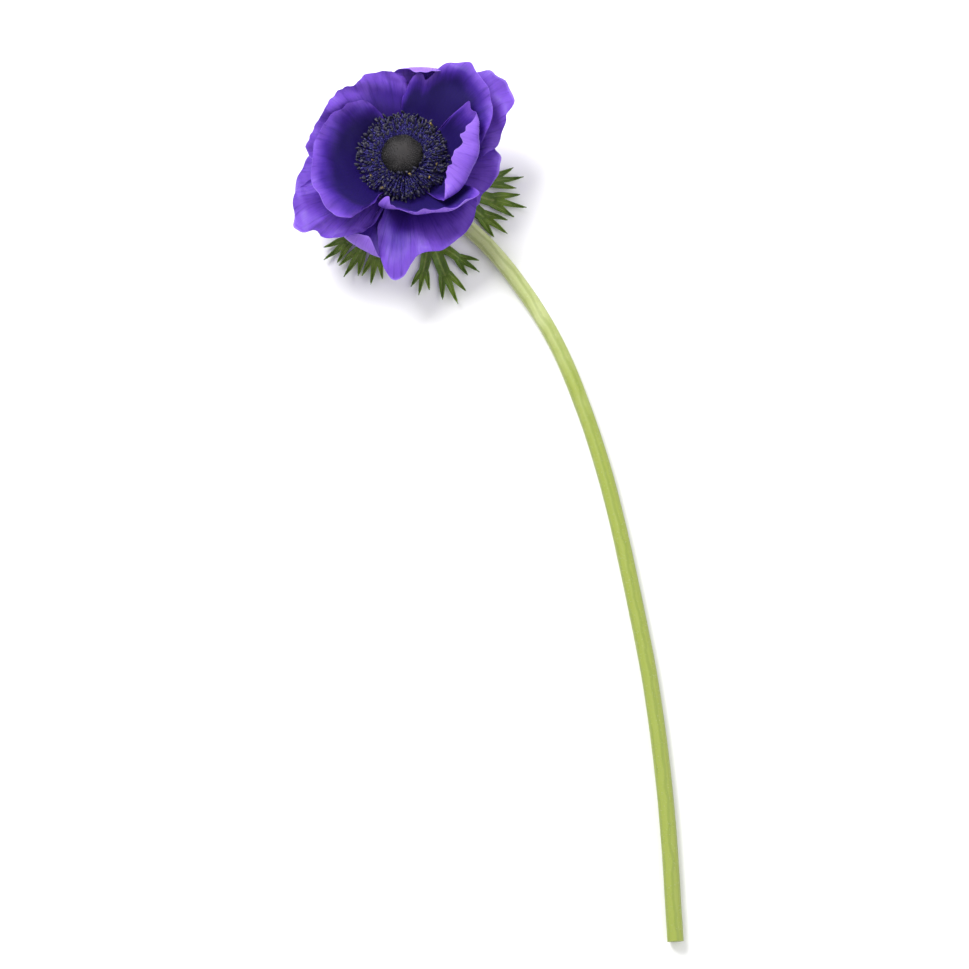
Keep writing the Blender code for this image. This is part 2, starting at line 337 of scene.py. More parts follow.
class Signal:
    """A shader socket that takes part in Python expressions."""

    def __init__(self, shader: "Shader", socket: bpy.types.NodeSocket) -> None:
        """Wraps an output socket of a shader's tree."""
        self.shader = shader
        self.socket = socket

    def _math(self, operation: str, first: "Operand", second: "Operand") -> "Signal":
        """A Math node on two numbers."""
        return self.shader.node("ShaderNodeMath", {"operation": operation}, {0: first, 1: second})

    def __add__(self, other: "Operand") -> "Signal":
        """self + other."""
        return self._math("ADD", self, other)

    def __radd__(self, other: "Operand") -> "Signal":
        """other + self."""
        return self._math("ADD", other, self)

    def __sub__(self, other: "Operand") -> "Signal":
        """self - other."""
        return self._math("SUBTRACT", self, other)

    def __mul__(self, other: "Operand") -> "Signal":
        """self * other."""
        return self._math("MULTIPLY", self, other)

    def wave(self) -> "Signal":
        """The sine of the signal."""
        return self._math("SINE", self, 0.0)

    def mask(self, low: float, high: float) -> "Signal":
        """A soft step of the signal, 0 at low and 1 at high."""
        return self.shader.node(
            "ShaderNodeMapRange",
            {"interpolation_type": "SMOOTHSTEP"},
            {"Value": self, "From Min": low, "From Max": high},
        )


Operand = Union[Signal, float, Colour, Vector]


class Shader:
    """One material's node tree, round its Principled shader."""

    def __init__(self, name: str) -> None:
        """Makes the material.

        Args:
            name: The material's name.
        """
        self.material = bpy.data.materials.new(name)
        self.material.use_nodes = True
        self.tree = self.material.node_tree
        self.principled = self.tree.nodes["Principled BSDF"]

    def node(self, kind: str, settings: dict, inputs: dict, output: Union[int, str] = 0) -> Signal:
        """Adds any node.

        Args:
            kind: The node's type.
            settings: Its own properties, set before its sockets.
            inputs: The value or the signal of each socket, by name or place.
            output: Which of its outputs is wanted.

        Returns:
            That output.
        """
        made = self.tree.nodes.new(kind)
        for name, value in settings.items():
            setattr(made, name, value)
        for key, value in inputs.items():
            self._feed(made.inputs[key], value)
        return Signal(self, made.outputs[output])

    def _feed(self, socket: bpy.types.NodeSocket, value: Operand) -> None:
        """Links a signal to a socket, or sets the socket's own value."""
        if isinstance(value, Signal):
            self.tree.links.new(value.socket, socket)
        elif isinstance(value, tuple) and len(value) == 3 and socket.type == "RGBA":
            socket.default_value = (*value, 1.0)
        else:
            socket.default_value = value

    def mix(self, factor: Operand, first: Operand, second: Operand) -> Signal:
        """A colour between two, at the factor's share of the second."""
        return self.node("ShaderNodeMix", {"data_type": "RGBA"}, {0: factor, 6: first, 7: second}, 2)

    def shade(self, colour: Operand, amount: Operand) -> Signal:
        """A colour made lighter or darker by a number, as a multiply mix with a grey."""
        grey = self.node("ShaderNodeCombineColor", {}, {0: amount, 1: amount, 2: amount})
        multiply = {"data_type": "RGBA", "blend_type": "MULTIPLY"}
        return self.node("ShaderNodeMix", multiply, {0: 1.0, 6: colour, 7: grey}, 2)

    def noise(self, vector: Signal, scale: float, detail: float = 2.0, rough: float = 0.5) -> Signal:
        """Fractal noise of 0 to 1."""
        inputs = {"Vector": vector, "Scale": scale, "Detail": detail, "Roughness": rough}
        return self.node("ShaderNodeTexNoise", {}, inputs)

    def stretched(self, vector: Signal, scale: Vector) -> Signal:
        """A vector with each axis scaled, for grain that runs one way."""
        return self.node("ShaderNodeMapping", {}, {"Vector": vector, "Scale": scale})

    def coordinate(self, output: str) -> Signal:
        """The Texture Coordinate node's output of that name."""
        return self.node("ShaderNodeTexCoord", {}, {}, output)

    def axis(self, vector: Signal, name: str) -> Signal:
        """One of a vector's numbers, X, Y or Z."""
        return self.node("ShaderNodeSeparateXYZ", {}, {0: vector}, name)

    def attribute(self, name: str) -> Signal:
        """A number stored on the mesh's points."""
        return self.node("ShaderNodeAttribute", {"attribute_name": name}, {}, "Fac")

    def bump(self, height: Signal, strength: float, distance: float) -> None:
        """Lets a height signal tilt the surface."""
        normal = self.node(
            "ShaderNodeBump", {}, {"Height": height, "Strength": strength, "Distance": distance}
        )
        self.dress({"Normal": normal})

    def dress(self, sockets: dict) -> None:
        """Sets the Principled shader's sockets, by name."""
        for name, value in sockets.items():
            self._feed(self.principled.inputs[name], value)


# ---------------------------------------------------------------------------- finishes


class Side(Enum):
    """The two faces of a petal."""

    INNER = "inner"
    OUTER = "outer"


@dataclass(frozen=True)
class PetalFinish:
    """Violet petal skin with fine veins: darkest inside, where that dark colour is also painted shade
    of the bowl; pale along the margin, partly painted light; with a thin painted highlight along the
    edge.
    """

    side: Side
    # The inner face's darkest violet, darkened further as painted shade of the bowl's hollow.
    deep_and_painted_shade: Colour = (0.008, 0.0015, 0.080)
    middle: Colour = (0.045, 0.011, 0.250)
    # pale: the paler margin, partly the petal's own tone and partly painted light on margins that face
    # up and out.
    pale: Colour = (0.160, 0.066, 0.490)
    # A thin painted highlight along the petal's very edge.
    painted_rim_highlight: Colour = (0.280, 0.165, 0.650)
    back: Colour = (0.270, 0.135, 0.640)
    root: Colour = (0.030, 0.012, 0.090)
    vein_count: float = 46.0

    def material(self) -> bpy.types.Material:
        """Builds the petal's material.

        Returns:
            The material.
        """
        shader = Shader(f"petal_{self.side.value}")
        uv = shader.coordinate("UV")
        across, along = shader.axis(uv, "X"), shader.axis(uv, "Y")
        edge = shader.attribute("edge")
        cloud = shader.noise(shader.coordinate("Object"), 90.0, 3.0)
        streak = shader.noise(shader.stretched(uv, Vector((self.vein_count, 2.2, 1.0))), 1.0, 4.0, 0.6)
        fine = shader.noise(shader.stretched(uv, Vector((150.0, 9.0, 1.0))), 1.0, 2.0)
        uneven = (cloud - 0.5) * 0.5 + (streak - 0.5) * 0.5
        # rim: 1 at the margin; on the inner face it brings in the pale colour, partly painted light,
        # and on the outer face the paler back.
        rim = (edge + uneven).mask(0.95, 0.0)
        # body: 0 well inside the petal, 1 near the margin; it fades the painted shade out on the inner
        # face, and on the outer face brings in the pale margin, partly painted light.
        body = (edge + uneven).mask(1.9, 0.6)
        if self.side is Side.OUTER:
            # Outer face: pale towards the margin, partly painted light.
            colour = shader.mix(body, self.middle, self.pale)
            colour = shader.mix(rim * 0.7, colour, self.back)
            colour = shader.mix(streak.mask(0.52, 0.7) * 0.4, colour, self.middle)
        else:
            # Inner face: painted shade, darkest well inside the petal and lighter towards the margin.
            colour = shader.mix(body, self.deep_and_painted_shade, self.middle)
            # Inner face: pale rim, partly painted light.
            colour = shader.mix(rim * 0.85, colour, self.pale)
            colour = shader.mix(streak.mask(0.5, 0.72) * 0.35, colour, self.deep_and_painted_shade)
        # Painted highlight: a thin pale line along the very edge.
        colour = shader.mix((edge * self.vein_count).mask(1.8, 0.4) * 0.6, colour, self.painted_rim_highlight)
        colour = shader.mix(along.mask(0.2, 0.02), colour, self.root)
        colour = shader.shade(colour, 0.86 + fine * 0.28)
        shader.dress({
            "Base Color": colour,
            "Roughness": 0.5 + (cloud - 0.5) * 0.2,
            "Specular IOR Level": 0.22,
            "Sheen Weight": 0.06,
            "Sheen Roughness": 0.45,
            "Sheen Tint": (0.62, 0.5, 0.95, 1.0),
            "Subsurface Weight": 0.12,
            "Subsurface Radius": Vector((0.5, 0.35, 1.0)),
            "Subsurface Scale": 0.6 * MM,
        })
        shader.bump(streak * 0.7 + fine * 0.3, 0.55, 0.35 * MM)
        return shader.material


@dataclass(frozen=True)
class AntherFinish:
    """Blue-black pollen sacs, dusted pale on their ridges, a few with yellow pollen."""

    dark: Colour = (0.012, 0.011, 0.035)
    dust: Colour = (0.210, 0.190, 0.220)
    pollen: Colour = (0.420, 0.300, 0.060)

    def material(self) -> bpy.types.Material:
        """Builds the anthers' material."""
        shader = Shader("anther")
        place = shader.coordinate("Object")
        share = shader.attribute("share")
        grain = shader.noise(place, 2600.0, 3.0, 0.7)
        patch = shader.noise(place, 700.0, 2.0)
        dusty = grain.mask(0.46, 0.64) * patch.mask(0.4, 0.6) * share.mask(0.0, 0.8)
        colour = shader.mix(dusty * 0.8, self.dark, self.dust)
        colour = shader.mix(share.mask(0.97, 0.98) * grain.mask(0.45, 0.55), colour, self.pollen)
        shader.dress({
            "Base Color": colour,
            "Roughness": 0.62 + dusty * 0.25,
            "Specular IOR Level": 0.5,
        })
        shader.bump(grain, 0.6, 0.1 * MM)
        return shader.material


@dataclass(frozen=True)
class FilamentFinish:
    """Thin violet-blue threads, flecked paler, more on some segments than on others."""

    tip: Colour = (0.045, 0.030, 0.240)
    pale: Colour = (0.190, 0.200, 0.560)

    def material(self) -> bpy.types.Material:
        """Builds the filaments' material."""
        shader = Shader("filament")
        share = shader.attribute("share")
        grain = shader.noise(shader.coordinate("Object"), 900.0, 2.0)
        colour = shader.mix(grain.mask(0.45, 0.7) * share, self.tip, self.pale)
        shader.dress({"Base Color": colour, "Roughness": 0.42, "Specular IOR Level": 0.5})
        shader.bump(grain, 0.3, 0.05 * MM)
        return shader.material


@dataclass(frozen=True)
class SeedHeadFinish:
    """Near-black felt, greyer and warmer on top of the dome as a painted highlight, and in random
    patches.
    """

    dark: Colour = (0.005, 0.004, 0.006)
    # The lighter felt colour, used as a painted highlight on top of the dome and in random patches.
    warm_felt_and_highlight: Colour = (0.018, 0.015, 0.015)

    def material(self) -> bpy.types.Material:
        """Builds the seed head's material."""
        shader = Shader("seed_head_felt")
        place = shader.coordinate("Object")
        share = shader.attribute("share")
        high = shader.attribute("high")
        patch = shader.noise(place, 260.0, 3.0, 0.6)
        # grey: rises towards the top of the dome as a painted highlight, broken up by random patches
        # and by each style's own share.
        grey = (high + (patch - 0.5) * 1.1 + (share - 0.5) * 0.4).mask(0.25, 1.1)
        colour = shader.mix(grey, self.dark, self.warm_felt_and_highlight)
        shader.dress({
            "Base Color": colour,
            "Roughness": 0.8,
            "Sheen Weight": 0.15,
            "Sheen Roughness": 0.5,
        })
        shader.bump(shader.noise(place, 3000.0, 2.0), 0.5, 0.08 * MM)
        return shader.material


@dataclass(frozen=True)
class LeafFinish:
    """Matt green blade with a pale midrib and netted side veins."""

    green: Colour = (0.150, 0.235, 0.024)
    dark: Colour = (0.075, 0.140, 0.016)
    vein: Colour = (0.260, 0.335, 0.080)

    def material(self) -> bpy.types.Material:
        """Builds the leaves' material."""
        shader = Shader("leaf")
        place = shader.coordinate("Object")
        rib, reach = shader.attribute("rib"), shader.attribute("reach")
        cloud = shader.noise(place, 160.0, 4.0, 0.55)
        net = shader.node(
            "ShaderNodeTexVoronoi", {"feature": "DISTANCE_TO_EDGE"}, {"Vector": place, "Scale": 700.0}
        )
        midrib = rib.mask(0.30, 0.05)
        branch = (reach * 2600.0 + rib * 5.0).wave().mask(0.86, 1.0) * rib.mask(0.95, 0.2)
        colour = shader.mix(cloud.mask(0.35, 0.7), self.dark, self.green)
        colour = shader.mix(midrib * 0.55 + branch * 0.22, colour, self.vein)
        shader.dress({
            "Base Color": colour,
            "Roughness": 0.5 + (cloud - 0.5) * 0.25,
            "Specular IOR Level": 0.35,
            "Subsurface Weight": 0.08,
            "Subsurface Radius": Vector((0.4, 0.8, 0.1)),
            "Subsurface Scale": 0.5 * MM,
        })
        shader.bump(net.mask(0.0, 0.12) * 0.4 - midrib * 0.9 - branch * 0.5, 0.5, 0.2 * MM)
        return shader.material


@dataclass(frozen=True)
class StemFinish:
    """Pale juicy green, lighter near the flower, with fine ribs along it."""

    pale: Colour = (0.560, 0.600, 0.330)
    green: Colour = (0.270, 0.325, 0.055)
    shade: Colour = (0.150, 0.205, 0.028)
    pith: Colour = (0.640, 0.680, 0.420)

    def material(self) -> bpy.types.Material:
        """Builds the stem's material."""
        shader = Shader("stem")
        along = shader.attribute("along")
        turn = shader.attribute("turn")
        face = shader.attribute("cut")
        place = shader.coordinate("Object")
        cloud = shader.noise(place, 120.0, 3.0)
        specks = shader.noise(place, 1500.0, 2.0)
        streak = (turn * 34.0 + (cloud - 0.5) * 6.0).wave()
        colour = shader.mix((along + (cloud - 0.5) * 0.25).mask(0.02, 0.45), self.pale, self.green)
        marks = streak.mask(0.1, 1.0) * 0.35 + specks.mask(0.6, 0.8) * 0.2
        colour = shader.mix(marks, colour, self.shade)
        colour = shader.mix(face * specks.mask(0.3, 0.6), colour, self.pith)
        shader.dress({
            "Base Color": colour,
            "Roughness": 0.42 + (specks - 0.5) * 0.2,
            "Specular IOR Level": 0.4,
            "Subsurface Weight": 0.15,
            "Subsurface Radius": Vector((0.6, 1.0, 0.2)),
            "Subsurface Scale": 1.0 * MM,
        })
        shader.bump(streak * 0.3 + specks * 0.25, 0.4, 0.15 * MM)
        return shader.material


@dataclass(frozen=True)
class DownFinish:
    """Fine white hairs."""

    colour: Colour = (0.72, 0.76, 0.62)

    def material(self) -> bpy.types.Material:
        """Builds the hairs' material."""
        shader = Shader("down")
        share = shader.attribute("share")
        shader.dress({"Base Color": shader.shade(self.colour, 0.75 + share * 0.3), "Roughness": 0.5})
        return shader.material


# ---------------------------------------------------------------------------- petals


USUAL_REACH = 30.0
"""A petal's usual length in millimetres, which turns azimuths into distances along its margin."""


@dataclass(frozen=True)
class Roll:
    """A margin rolled over a line across the petal.

    The line runs between two places on the blade, each an azimuth and a distance from the root,
    and what lies outside it is rolled inwards, until it has turned through the limit in degrees.
    Its curve tightens to the radius within the onset.
    """

    start: tuple[float, float]
    end: tuple[float, float]
    radius: float
    limit: float
    onset: float = 2 * MM


@dataclass(frozen=True)
class Bowl:
    """The nested bowls that the petals lie on, the same as those of the solids."""

    height: float = HEAD_HEIGHT
    root_radius: float = 5.6 * MM
    layer_step: float = 0.9 * MM
    top_layer: float = -0.4 * MM
    floor: float = 6.0
    bend: tuple[float, float] = (5 * MM, 17 * MM)
    recurve_start: float = 0.72
    claw: float = 0.5
    full: float = 0.6
    waves: tuple[tuple[int, float, float], ...] = ((3, 1.3 * MM, 0.7), (5, 0.8 * MM, 2.1))
    waves_grow: tuple[float, float] = (14 * MM, 36 * MM)

    def wave(self, radius: Array, azimuth: Array) -> Array:
        """The slow waves that all the petals share, so that they stay nested."""
        total = sum(height * np.sin(count * azimuth + phase) for count, height, phase in self.waves)
        return smoothstep(*self.waves_grow, radius) * total


@dataclass(frozen=True)
class Petal:
    """One petal: ribs that fan out over its bowl to an outline of its own.

    Each outline point is an azimuth and a distance from the root along the blade, in millimetres.
    """

    name: str
    outline: tuple[tuple[float, float], ...]
    rise: float
    layer: int
    recurve: float = 14.0
    twist: float = 0.0
    cup: float = 0.0
    rolls: tuple[Roll, ...] = ()
    ruffle: float = 0.7 * MM
    ruffle_length: float = 13 * MM
    crinkle: float = 0.12 * MM
    pleats: float = 0.25 * MM
    pleat_count: float = 5.0
    # pale_zone: how far the pale margin, partly painted light, reaches in from the edge.
    pale_zone: float = 20 * MM
    seed: int = 1
    bowl: Bowl = field(default_factory=Bowl)
    columns: int = 84
    rows: int = 60
    thickness: float = 0.34 * MM
    thinnest: float = 0.45
    thin_zone: float = 5 * MM
    nicks: float = 0.014
    nick_length: float = 9.0
    crinkle_length: float = 3.6 * MM
    side_paling: float = 1.2

    def middle(self) -> tuple[float, float]:
        """The petal's middle azimuth and half its spread."""
        azimuths = [point[0] for point in self.outline]
        return (max(azimuths) + min(azimuths)) / 2, (max(azimuths) - min(azimuths)) / 2

    def longest(self) -> float:
        """The length of the petal's longest rib."""
        return max(point[1] for point in self.outline) * MM

    def margin(self, u: Array) -> tuple[Array, Array]:
        """The outline at shares along it: azimuth and distance from the root."""
        knots = np.array(self.outline, float)
        flat = np.stack((np.radians(knots[:, 0]) * USUAL_REACH, knots[:, 1]), axis=-1)
        walked = np.concatenate(((0.0,), np.cumsum(np.linalg.norm(np.diff(flat, axis=0), axis=1))))
        knots = np.concatenate((2 * knots[:1] - knots[1:2], knots, 2 * knots[-1:] - knots[-2:-1]))
        place = np.interp(u, walked / walked[-1], np.arange(len(walked)))
        index = np.minimum(place.astype(int), len(walked) - 2)
        t = (place - index)[:, None]
        p, q, r, s = (knots[index + k] for k in range(4))
        curve = spline(p, q, r, s, t)
        return curve[:, 0], curve[:, 1] * MM

    def profile(self, slope: Array, along: Array, length: Array) -> tuple[Array, Array]:
        """Outward and upward distances from the root at a distance along a rib.

        Args:
            slope: The bowl's slope there, in degrees.
            along: The distance from the root.
            length: The whole rib's length.

        Returns:
            The outward and the upward distance.
        """
        shares = np.linspace(0.0, 1.0, 49)
        steps = along[:, None] * shares[None, :]
        bowl = self.bowl
        angle = bowl.floor + (slope[:, None] - bowl.floor) * smoothstep(*bowl.bend, steps)
        lip = smoothstep(bowl.recurve_start, 1.0, steps / length[:, None])
        lip = lip * np.minimum(1, length / self.longest())[:, None] ** 2
        angle = np.radians(angle - self.recurve * lip)
        return np.trapz(np.cos(angle), steps, axis=1), np.trapz(np.sin(angle), steps, axis=1)

    def sheet(self, u: Array, v: Array) -> tuple[Array, Array, Array]:
        """The smooth blade on its bowl.

        Args:
            u: Shares along the outline, from 0 to 1.
            v: Shares from the root to the outline, from 0 to 1.

        Returns:
            The points, and each one's flat distances across and along from the root's middle.
        """
        heading, spread = self.middle()
        azimuth, length = self.margin(u)
        bowl = self.bowl
        nicks = ripples(azimuth, np.full_like(u, self.seed), self.nick_length, self.seed + 9)
        length = length * (1 + self.nicks * nicks)
        along = v * length
        fan = bowl.claw + (1 - bowl.claw) * smoothstep(0, bowl.full, v)
        side = (azimuth - heading) / spread
        swing = np.radians((azimuth - heading) * fan)
        outward, upward = self.profile(self.rise + self.twist * side, along, length)
        radius = bowl.root_radius + outward
        turn = math.radians(heading) + swing
        height = bowl.height + bowl.top_layer - self.layer * bowl.layer_step + upward
        height = height + bowl.wave(radius, turn) + self.cup * side**2 * v**2
        points = np.stack((radius * np.cos(turn), radius * np.sin(turn), height), axis=-1)
        return points, radius * swing, along

    def rolled(self, roll: Roll, across: Array, along: Array, v: Array) -> tuple[Array, Array, Array]:
        """How a roll moves each point: across, along and off the blade."""
        heading, _ = self.middle()

        def flat(place: tuple[float, float]) -> Array:
            """A place on the blade, as distances across and along."""
            reach = place[1] * MM
            return np.array((math.radians(place[0] - heading) * (reach * 0.85 + 5 * MM), reach))

        start, end = flat(roll.start), flat(roll.end)
        line = (end - start) / np.linalg.norm(end - start)
        lead = np.array((line[1], -line[0]))
        lead = lead * np.sign(lead @ start or 1.0)
        past = np.maximum((across - start[0]) * lead[0] + (along - start[1]) * lead[1], 0)
        past = past * smoothstep(0.3, 0.6, v)
        table = np.linspace(0, 50 * MM, 401)
        bend = np.minimum(table / roll.onset, 1.0) * table / roll.radius
        bend = math.radians(roll.limit) * np.tanh(bend / math.radians(roll.limit))
        step = table[1] - table[0]
        forward = np.concatenate(((0.0,), np.cumsum(np.cos(bend[:-1])) * step))
        lift = np.concatenate(((0.0,), np.cumsum(np.sin(bend[:-1])) * step))
        shift = np.interp(past, table, forward) - past
        return shift * lead[0], shift * lead[1], np.interp(past, table, lift)

    def surface(self, u: Array, v: Array) -> Array:
        """The finished middle surface of the petal."""
        points, across, along = self.sheet(u, v)
        nudge = 1e-3
        out = unit(self.sheet(u, v + nudge)[0] - self.sheet(u, v - nudge)[0])
        near = np.maximum(v, 0.02)
        over = self.sheet(u + nudge, near)[0] - self.sheet(u - nudge, near)[0]
        up = unit(np.cross(unit(over), out))
        over = unit(np.cross(up, out))
        margin = v**4 * smoothstep(0.15, 0.6, v)
        lift = self.ruffle * margin * ripples(across, along, self.ruffle_length, self.seed)
        crinkles = ripples(across, along, self.crinkle_length, self.seed + 50)
        lift = lift + self.crinkle * margin**2 * crinkles
        fold = np.sin(self.pleat_count * math.pi * (2 * u - 1) + self.seed) * smoothstep(0.2, 0.8, v)
        lift = lift + self.pleats * fold
        move_over, move_out = np.zeros_like(u), np.zeros_like(u)
        for roll in self.rolls:
            a, b, c = self.rolled(roll, across, along, v)
            move_over, move_out, lift = move_over + a, move_out + b, lift + c
        return points + over * move_over[:, None] + out * move_out[:, None] + up * lift[:, None]

    def build(self, inner: bpy.types.Material, outer: bpy.types.Material) -> bpy.types.Object:
        """Models the petal as a thin closed blade.

        Args:
            inner: The material of its upper face.
            outer: The material of its back.

        Returns:
            The petal.
        """
        made = grid_sheet(self.name + "_blade", self.columns, self.rows, self.surface)
        uvs = np.empty(len(made.data.loops) * 2)
        made.data.uv_layers.active.data.foreach_get("uv", uvs)
        corner = np.empty(len(made.data.loops), np.int32)
        made.data.loops.foreach_get("vertex_index", corner)
        place = np.zeros((len(made.data.vertices), 2))
        place[corner] = uvs.reshape(-1, 2)
        _, length = self.margin(place[:, 0])
        inside = (1 - place[:, 1]) * length
        short = self.side_paling * (1 - np.minimum(length / self.longest(), 1)) ** 1.5
        # edge: distance in from the margin in pale zones; it places the pale margin, partly painted
        # light, and the painted highlight along the edge.
        store(made.data, "edge", inside / self.pale_zone + short)
        thin = made.vertex_groups.new(name="thin")
        weights = self.thinnest + (1 - self.thinnest) * smoothstep(0.0, self.thin_zone, inside)
        for index, weight in enumerate(weights):
            thin.add((index,), float(weight), "REPLACE")
        wall = made.modifiers.new("Wall", "SOLIDIFY")
        wall.thickness = self.thickness
        wall.offset = 0
        wall.vertex_group = thin.name
        wall.material_offset = 1
        made.data.materials.append(inner)
        made.data.materials.append(outer)
        apply_modifiers(made)
        made.vertex_groups.clear()
        smooth_shade(made, 70)
        return made


class Corolla:
    """All the petals of the flower."""

    petals: tuple[Petal, ...] = (
        Petal(
            "petal_inner_left",
            ((243, 13), (241, 25), (238, 34), (227, 38), (210, 37), (190, 33.5), (167, 30), (147, 26),
             (130, 22.5), (121, 18), (117, 12)),
            rise=46, layer=0, recurve=30, cup=1.2 * MM, seed=3, ruffle=1.1 * MM, pale_zone=6 * MM,
        ),
        Petal(
            "petal_inner_right",
            ((39, 13), (37, 23), (34, 31), (30, 30), (26, 31), (19, 33.5), (8, 37), (-6, 38),
             (-20, 37), (-36, 35), (-46, 32.5), (-53, 27), (-55, 19), (-57, 12)),
            rise=50, layer=0, recurve=0, seed=5, pale_zone=8 * MM,
            rolls=(Roll((27, 31.5), (-57, 25), 1.1 * MM, 128, 0.8 * MM),),
        ),
        Petal(
            "petal_inner_front",
            ((-26, 12), (-28, 22), (-31, 32), (-37, 35), (-48, 34), (-60, 31.5), (-67, 30.5), (-74, 31),
             (-80, 28.5), (-87, 26), (-94, 25.5), (-100, 27), (-106, 29), (-110, 27), (-112, 21),
             (-113, 12)),
            rise=48, layer=1, recurve=0, twist=-9, seed=8, ruffle=0.5 * MM, pale_zone=4 * MM,
            rolls=(Roll((-50, 29), (-112, 21), 3.4 * MM, 92, 1.5 * MM),),
        ),
        Petal(
            "petal_inner_rear",
            ((92, 11), (91, 18), (87, 23), (81, 28), (76, 29.5), (72.5, 27.5), (68, 30.5), (62, 36),
             (54, 40), (44, 40), (28, 37.5), (15, 34), (7, 30), (2, 24), (0, 14)),
            rise=42, layer=1, recurve=20, seed=12, ruffle=1.1 * MM, pale_zone=5 * MM,
        ),
        Petal(
            "petal_upper_left",
            ((193, 17), (191, 27), (184, 32), (175, 33), (160, 31), (140, 30.5), (124, 29), (110, 31),
             (94, 28.5), (86, 25), (84, 16)),
            rise=37, layer=2, recurve=22, seed=17, ruffle=1.2 * MM, ruffle_length=9 * MM,
            pale_zone=12 * MM,
        ),
        Petal(
            "petal_outer_left",
            ((-110, 16), (-111, 24), (-117, 31), (-130, 40), (-136, 42), (-139, 46), (-147, 44.5),
             (-156, 39.5), (-164, 33), (-166, 20)),
            rise=22, layer=3, recurve=16, seed=21, ruffle=1.3 * MM, pleats=0.8 * MM,
            pleat_count=5.4, crinkle=0.4 * MM, pale_zone=30 * MM,
        ),
        Petal(
            "petal_outer_rear",
            ((109, 14), (104, 24), (96, 30), (87, 36), (80, 40), (72, 40), (64, 37), (61, 28),
             (60, 17)),
            rise=31, layer=3, recurve=4, seed=25,
            rolls=(Roll((100, 27), (58, 30), 3 * MM, 130),),
        ),
        Petal(
            "petal_outer_right",
            ((57, 18), (54, 32), (48, 39), (40, 43), (31, 44), (22, 41), (13, 35), (4, 31), (-3, 26),
             (-5, 16)),
            rise=26, layer=3, recurve=20, seed=29, ruffle=1.3 * MM, pale_zone=32 * MM,
        ),
        Petal(
            "petal_outer_front",
            ((-27, 17), (-28, 26), (-36, 30), (-50, 33), (-68, 35), (-80, 34.5), (-85, 38), (-89, 43),
             (-94, 43), (-99, 37), (-104, 31), (-108, 23), (-110, 14)),
            rise=15, layer=3, recurve=26, twist=8, seed=33,
        ),
        Petal(
            "petal_under_right",
            ((15, 16), (13, 26), (4, 30.5), (-6, 32.5), (-15, 31), (-24, 28), (-36, 27), (-45, 22),
             (-46, 14)),
            rise=17, layer=4, recurve=20, twist=4, seed=37, ruffle=1.2 * MM, pale_zone=30 * MM,
        ),
        Petal(
            "petal_under_left",
            ((-140, 16), (-143, 28), (-147, 37), (-155, 38.5), (-168, 35), (-180, 31), (-190, 26),
             (-197, 15)),
            rise=14, layer=4, recurve=22, seed=41, pale_zone=28 * MM,
        ),
        Petal(
            "petal_under_front",
            ((-88, 13), (-95, 22), (-99, 32), (-103, 38), (-110, 41), (-118, 41), (-125, 37),
             (-130, 30), (-134, 21), (-138, 13)),
            rise=6, layer=4, recurve=0, seed=45, cup=1.5 * MM,
            rolls=(Roll((-96, 33), (-133, 30), 2.2 * MM, 150, 1 * MM),),
        ),
    )

    def build(self, move: Vector) -> None:
        """Models and dresses every petal.

        Args:
            move: From the flower's own centre to the frame.
        """
        inner, outer = PetalFinish(Side.INNER).material(), PetalFinish(Side.OUTER).material()
        for petal in self.petals:
            settle(petal.build(inner, outer), (petal.name,), move)


# ---------------------------------------------------------------------------- centre


def aim(places: Array, headings: Array, sizes: Array, spin: Array) -> Array:
    """Matrices that set a pattern, modelled along +Z, at each place and heading.

    Args:
        places: (copies, 3) points.
        headings: (copies, 3) unit vectors for the pattern's +Z.
        sizes: (copies, 3) scale of the pattern's own axes.
        spin: Turn of each copy about its heading, in radians.

    Returns:
        (copies, 3, 4) matrices.
    """
    helper = np.where(np.abs(headings[:, 2:3]) < 0.9, (0.0, 0.0, 1.0), (1.0, 0.0, 0.0))
    side = unit(np.cross(helper, headings))
    other = np.cross(headings, side)
    turned = side * np.cos(spin)[:, None] + other * np.sin(spin)[:, None]
    other = np.cross(headings, turned)
    axes = np.stack((turned, other, headings), axis=-1) * sizes[:, None, :]
    return np.concatenate((axes, places[:, :, None]), axis=-1)


